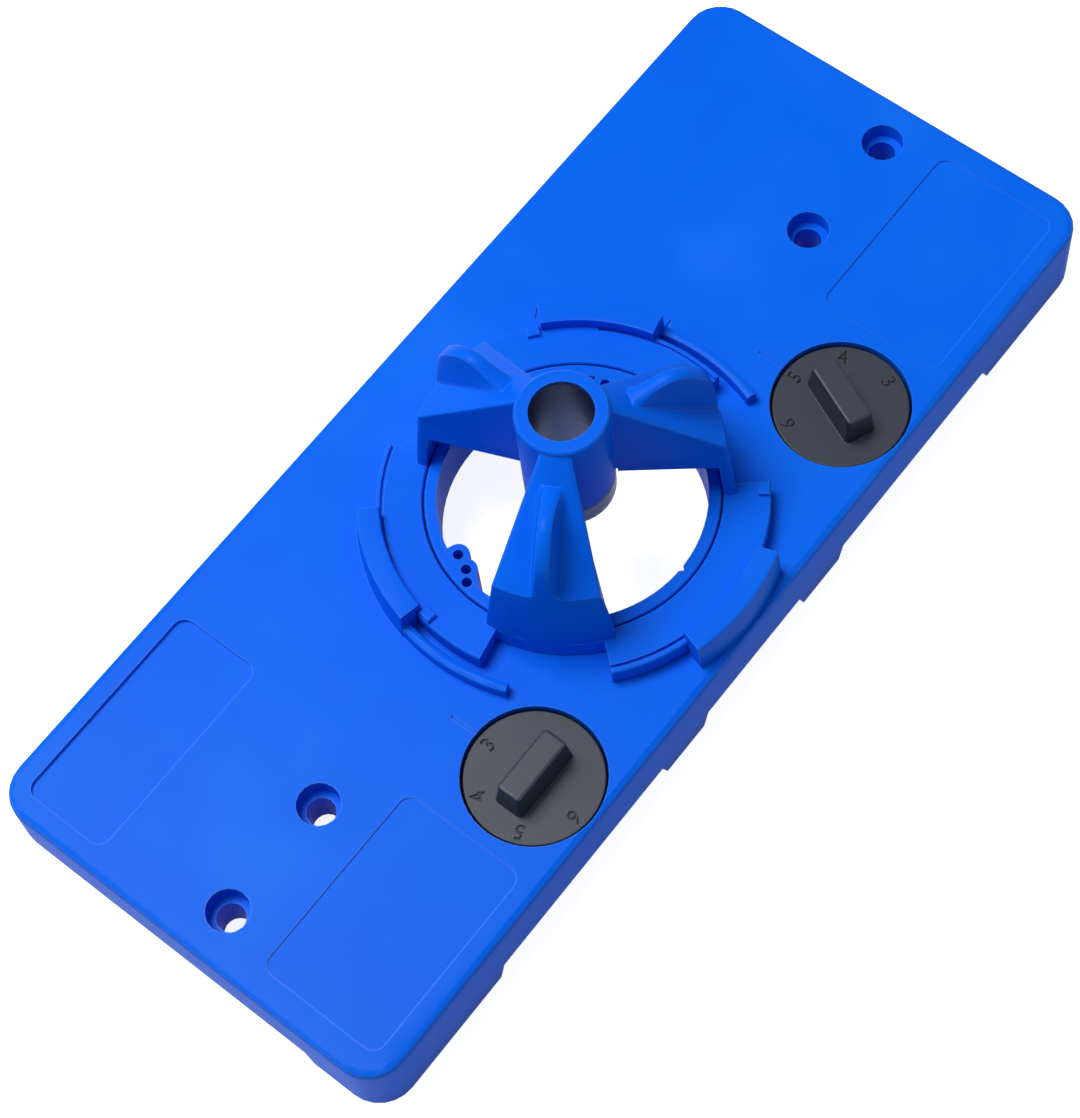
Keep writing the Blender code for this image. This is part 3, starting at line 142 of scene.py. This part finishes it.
class Paint(NodeTree):
    """A material: its nodes, its main shader and handy patterns."""

    def __init__(self, name, colour, roughness, metallic=0.0):
        self.material = bpy.data.materials.new(name)
        super().__init__(self.material)
        self.shader = self.tree.nodes["Principled BSDF"]
        self.shader.inputs["Base Color"].default_value = (*colour, 1.0)
        self.shader.inputs["Roughness"].default_value = roughness
        self.shader.inputs["Metallic"].default_value = metallic

    def height(self):
        """How high a point of a piece lies above the piece's own origin, in metres."""
        spot = self.node("ShaderNodeTexCoord").outputs["Object"]
        split = self.node("ShaderNodeSeparateXYZ", {}, {0: spot})
        return Value(self, split.outputs[2])

    def noise(self, grain, detail=2.0, stretch=(1.0, 1.0, 1.0)):
        """Cloudy noise from 0 to 1 whose clouds are about one grain wide, in metres."""
        spot = self.node("ShaderNodeTexCoord").outputs["Object"]
        scaled = self.node("ShaderNodeMapping", {}, {"Vector": spot, "Scale": stretch})
        settings = {"Vector": scaled.outputs[0], "Scale": 1.0 / grain, "Detail": detail}
        return Value(self, self.node("ShaderNodeTexNoise", {}, settings).outputs[0])

    def step(self, value, start, end):
        """0 below start, 1 above end, and a smooth rise between them."""
        settings = {"interpolation_type": "SMOOTHSTEP"}
        inputs = {"Value": value, "From Min": start, "From Max": end}
        return Value(self, self.node("ShaderNodeMapRange", settings, inputs).outputs[0])

    def blend(self, amount, first, second):
        """A colour between two colours."""
        mix = self.node("ShaderNodeMix", {"data_type": "RGBA"}, {0: amount})
        for index, colour in ((6, first), (7, second)):
            value = (*colour, 1.0) if isinstance(colour, tuple) else colour
            self.feed(mix.inputs[index], value)
        return mix.outputs[2]

    def soft_normal(self, radius):
        """Which way the surface faces once its edges are rounded by a radius, in metres."""
        return self.node("ShaderNodeBevel", {"samples": 6}, {"Radius": radius}).outputs[0]

    def edges(self, soft):
        """1 along the edges, where the softened surface turns off the real one, else 0."""
        real = self.node("ShaderNodeNewGeometry").outputs["Normal"]
        inputs = {0: soft, 1: real}
        together = self.node("ShaderNodeVectorMath", {"operation": "DOT_PRODUCT"}, inputs)
        return self.step(1.0 - Value(self, together.outputs["Value"]), 0.004, 0.08)

    def bump(self, height, distance, soft):
        """Raise the softened surface by height times distance."""
        inputs = {"Height": height, "Distance": distance, "Strength": 1.0, "Normal": soft}
        node = self.node("ShaderNodeBump", {}, inputs)
        self.feed(self.shader.inputs["Normal"], node.outputs[0])

    def set(self, name, value):
        self.feed(self.shader.inputs[name], value)


print("shader helpers ready")

# %% [markdown]
# The plate and the guide are moulded in one blue plastic. Seen close, such plastic has a
# fine satin grain from the mould's spark-eroded steel, soft cloudy changes of gloss where
# it cooled, a paler tone in some clouds that is part random tone and part painted sheen,
# and edges rubbed glossier and painted paler as a highlight. A painted image could carry
# this, but noise in the jig's own space fits any view. A Bevel node rounds the edges for the
# light, since a mould never has a perfectly sharp one, and where it turns off the real face
# the edge is.

# %% Moulded blue plastic
BLUE = (0.001, 0.126, 0.80)
BLUE_DEEP = (0.0006, 0.112, 0.77)
# Paler blue of some clouds: part random tone, part painted sheen.
BLUE_PALE_SHEEN = (0.016, 0.170, 0.84)
# Paler blue of the painted highlight along the edges.
BLUE_EDGE_HIGHLIGHT = (0.03, 0.27, 1.0)
BLUE_GLOSS = 0.02
# How strongly edges get the painted highlight, on the blue plastic and on the dials.
EDGE_HIGHLIGHT = 0.5
SHINE = 0.06
EDGE_SHINE = 0.25
SHINE_ROUGHNESS = 0.3
CLOUD_SIZE = 34 * MM
STREAK_SIZE = 9 * MM
STREAK_STRETCH = (0.25, 1.0, 1.0)
GRAIN_SIZE = 0.35 * MM
GRAIN_HEIGHT = 0.012 * MM
EDGE_RADIUS = 0.3 * MM
# How much of that paler tone and painted sheen each part gets.
PLATE_PALE_SHEEN = 0.35
GUIDE_PALE_SHEEN = 0.2


def blue_plastic(name, pale_sheen):
    paint = Paint(name, BLUE, 0.45)
    clouds = paint.noise(CLOUD_SIZE, 2.0)
    streaks = paint.noise(STREAK_SIZE, 2.0, STREAK_STRETCH)
    grain = paint.noise(GRAIN_SIZE, 1.0)
    depth = paint.step(clouds + streaks * 0.15, 0.3, 0.85)
    tone = paint.blend(depth, BLUE_DEEP, BLUE)
    # Paler clouds: a random change of tone that is partly painted sheen.
    tone = paint.blend(paint.step(clouds, 0.5, 0.9) * pale_sheen, tone, BLUE_PALE_SHEEN)
    soft = paint.soft_normal(EDGE_RADIUS)
    edges = paint.edges(soft)
    # Edges painted paler: a painted highlight along every edge.
    paint.set("Base Color", paint.blend(edges * EDGE_HIGHLIGHT, tone, BLUE_EDGE_HIGHLIGHT))
    paint.set("Specular IOR Level", BLUE_GLOSS)
    paint.set("Roughness", 0.4 + clouds * 0.08 + grain * 0.08)
    paint.set("Coat Weight", SHINE + edges * EDGE_SHINE)
    paint.set("Coat Roughness", SHINE_ROUGHNESS)
    paint.bump(grain + streaks * 0.5, GRAIN_HEIGHT, soft)
    return paint.material


plate_blue = blue_plastic("plate_blue", PLATE_PALE_SHEEN)
guide_blue = blue_plastic("guide_blue", GUIDE_PALE_SHEEN)
print("blue plastic:", plate_blue.name, guide_blue.name)

# %% [markdown]
# The dials are dark grey plastic. Their digits are cut about a third of a millimetre deep,
# and dust and shadow make the cuts look nearly black. Separate dark inlays would do that
# too, but the cut's own depth already tells the shader where it is: whatever lies below the
# dial's face, and within its rim, is darkened.

# %% Dial plastic
DIAL_GREY = (0.020, 0.025, 0.040)
DIAL_CUT = (0.003, 0.003, 0.004)
# Paler grey of the painted highlight along the dial's edges.
DIAL_EDGE_HIGHLIGHT = (0.09, 0.10, 0.125)
DIAL_GLOSS = 0.29
CUT_START = 0.08 * MM
CUT_END = 0.2 * MM
DIAL_GRAIN_SIZE = 0.3 * MM
DIAL_CLOUD_SIZE = 9 * MM


def dial_plastic():
    paint = Paint("dial_grey", DIAL_GREY, 0.45)
    grain = paint.noise(DIAL_GRAIN_SIZE, 1.0)
    clouds = paint.noise(DIAL_CLOUD_SIZE, 2.0)
    below = 1.0 - paint.step(paint.height(), dial_face - CUT_END, dial_face - CUT_START)
    soft = paint.soft_normal(EDGE_RADIUS)
    # Dial edges painted paler grey: a painted highlight.
    tone = paint.blend(paint.edges(soft) * EDGE_HIGHLIGHT, DIAL_GREY, DIAL_EDGE_HIGHLIGHT)
    paint.set("Base Color", paint.blend(below, tone, DIAL_CUT))
    paint.set("Specular IOR Level", DIAL_GLOSS)
    paint.set("Roughness", 0.32 + clouds * 0.08 + grain * 0.08)
    paint.bump(grain + clouds * 0.5, GRAIN_HEIGHT, soft)
    return paint.material


dial_grey = dial_plastic()
print("dial plastic:", dial_grey.name)

# %% [markdown]
# The cams never show from above. They are the same dark plastic with a duller face, where
# the door's edge rubs them.

# %% Cam plastic
CAM_BLACK = (0.03, 0.031, 0.036)
CAM_RUBBED = (0.09, 0.092, 0.1)
SCUFF_SIZE = 1.2 * MM
SCUFF_STRETCH = (1.0, 1.0, 0.2)


def cam_plastic():
    paint = Paint("cam_black", CAM_BLACK, 0.5)
    scuffs = paint.noise(SCUFF_SIZE, 4.0, SCUFF_STRETCH)
    tone = paint.blend(paint.step(scuffs, 0.55, 0.8), CAM_BLACK, CAM_RUBBED)
    paint.set("Base Color", tone)
    paint.set("Roughness", 0.42 + scuffs * 0.25)
    paint.bump(scuffs, GRAIN_HEIGHT, paint.soft_normal(EDGE_RADIUS))
    return paint.material


cam_black = cam_plastic()
print("cam plastic:", cam_black.name)

# %% [markdown]
# The bush is turned steel with a dark finish. A lathe leaves fine rings round the axis, so
# the roughness and the bump follow the height along that axis. A stretched noise gives
# uneven rings, as a real tool does, where a regular wave would look like a thread.

# %% Turned steel
BUSH_DARK = (0.006, 0.024, 0.13)
BUSH_PALE = (0.03, 0.055, 0.18)
RING_SIZE = 0.5 * MM
RING_STRETCH = (0.02, 0.02, 1.0)
RING_HEIGHT = 0.02 * MM
SMEAR_SIZE = 6 * MM
BUSH_EDGE_RADIUS = 0.2 * MM


def turned_steel():
    paint = Paint("bush_steel", BUSH_DARK, 0.35, 0.85)
    rings = paint.noise(RING_SIZE, 3.0, RING_STRETCH)
    smears = paint.noise(SMEAR_SIZE, 2.0)
    tone = paint.blend(paint.step(smears, 0.4, 0.8), BUSH_DARK, BUSH_PALE)
    paint.set("Base Color", tone)
    paint.set("Roughness", 0.26 + rings * 0.2 + smears * 0.1)
    paint.bump(rings, RING_HEIGHT, paint.soft_normal(BUSH_EDGE_RADIUS))
    return paint.material


bush_steel = turned_steel()
print("turned steel:", bush_steel.name)

# %% [markdown]
# Screws and washers are zinc plated. The plating is bright but patchy, with a faint warm
# cast where it is thicker, so one noise steers both the tint and the gloss.

# %% Zinc plating
ZINC = (0.6, 0.6, 0.58)
ZINC_THIN = (0.5, 0.51, 0.53)
ZINC_THICK = (0.68, 0.66, 0.58)
PATCH_SIZE = 1.6 * MM
PATCH_HEIGHT = 0.01 * MM
ZINC_EDGE_RADIUS = 0.1 * MM


def zinc_plating():
    paint = Paint("zinc_plating", ZINC, 0.3, 1.0)
    patches = paint.noise(PATCH_SIZE, 3.0)
    tone = paint.blend(patches, ZINC_THIN, ZINC_THICK)
    paint.set("Base Color", tone)
    paint.set("Roughness", 0.22 + patches * 0.2)
    paint.bump(patches, PATCH_HEIGHT, paint.soft_normal(ZINC_EDGE_RADIUS))
    return paint.material


zinc = zinc_plating()
print("zinc plating:", zinc.name)

# %% [markdown]
# The solids arrive as loose triangles, each with its own corners, so a round tower would
# show its facets. Welding the corners and splitting only the sharp edges again lets light
# run smoothly round it, and weighted normals keep a broad flat face flat beside a narrow
# rounded edge. All three are modifiers, so the solids themselves stay as they are.

# %% Dress the solids
WELD_DISTANCE = 0.002 * MM
SHARP_ANGLE = math.radians(32.0)
FINISHES = {
    "base_plate": plate_blue,
    "bit_guide": guide_blue,
    "guide_bush": bush_steel,
    "dial_left": dial_grey,
    "dial_right": dial_grey,
    "edge_cam_left": cam_black,
    "edge_cam_right": cam_black,
}


def dress(node, material):
    mesh = node.data
    mesh.materials.clear()
    mesh.materials.append(material)
    if "custom_normal" in mesh.attributes:
        mesh.attributes.remove(mesh.attributes["custom_normal"])
    mesh.shade_smooth()
    weld = node.modifiers.new("weld", "WELD")
    weld.merge_threshold = WELD_DISTANCE
    split = node.modifiers.new("sharp_edges", "EDGE_SPLIT")
    split.split_angle = SHARP_ANGLE
    node.modifiers.new("flat_faces_stay_flat", "WEIGHTED_NORMAL").mode = "FACE_AREA_WITH_ANGLE"


for name, node in nodes.items():
    dress(node, FINISHES.get(name, zinc))
print("dressed", len(nodes), "nodes")

# %% [markdown]
# The jig stands on a plain white floor that fades into a white background. A bright floor
# would throw light up under the jig, so the floor is only moderately bright to the light
# and adds its own white where the camera sees it; a soft shadow still shows. It lies a
# hair under the feet, because two faces at one height would flicker.

# %% Floor and background
FLOOR_SIZE = 6.0
FLOOR_DROP = 0.05 * MM
FLOOR_WHITE = (0.7, 0.7, 0.7)
BLACK = (0.0, 0.0, 0.0)
WHITE = (1.0, 1.0, 1.0)
FLOOR_ADDED_WHITE = 0.87


def white_floor():
    bpy.ops.mesh.primitive_plane_add(size=FLOOR_SIZE, location=(0.0, 0.0, -FLOOR_DROP))
    floor = bpy.context.active_object
    floor.name = "floor"
    paint = Paint("floor_white", FLOOR_WHITE, 0.9)
    glow = paint.blend(paint.seen_straight(), BLACK, WHITE)
    paint.set("Emission Color", glow)
    paint.set("Emission Strength", FLOOR_ADDED_WHITE)
    floor.data.materials.append(paint.material)
    return floor


floor = white_floor()
print("floor:", floor.name)

# %% [markdown]
# The photograph was lit from above: the top of the plate is even and bright, and the sides
# that face the camera are much darker. A broad soft box high up and a little behind, a weak
# one low on the left and a plain world give the same. A small hard lamp would draw sharp
# shadows that the photograph lacks. The world shows as pure white to the camera and in
# reflections, but lights the jig at a plain level.

# %% Light
WORLD_LEVEL = 0.24
LAMP_TARGET = Vector((0.0, 0.0, 20.0)) * MM


def white_world():
    world = bpy.data.worlds.new("world")
    bpy.context.scene.world = world
    studio = NodeTree(world)
    background = studio.tree.nodes["Background"]
    background.inputs["Color"].default_value = (*WHITE, 1.0)
    level = WORLD_LEVEL + studio.seen_straight() * (1.0 - WORLD_LEVEL)
    studio.feed(background.inputs["Strength"], level)
    return world


def soft_box(name, place, size, power):
    data = bpy.data.lights.new(name, "AREA")
    data.shape = "SQUARE"
    data.size = size
    data.energy = power
    lamp = bpy.data.objects.new(name, data)
    bpy.context.scene.collection.objects.link(lamp)
    aim = (LAMP_TARGET - Vector(place)).to_track_quat("-Z", "Y")
    lamp.matrix_world = Matrix.Translation(place) @ aim.to_matrix().to_4x4()
    return lamp


world = white_world()
key = soft_box("key", (-0.12, 0.42, 1.15), 0.6, 14.0)
fill = soft_box("fill", (-0.95, 0.6, 0.5), 0.5, 1.0)
print("lamps:", key.name, fill.name)

# %% [markdown]
# A plain view transform shows each colour as it is written.

# %% Finish
bpy.context.scene.view_settings.view_transform = "Standard"
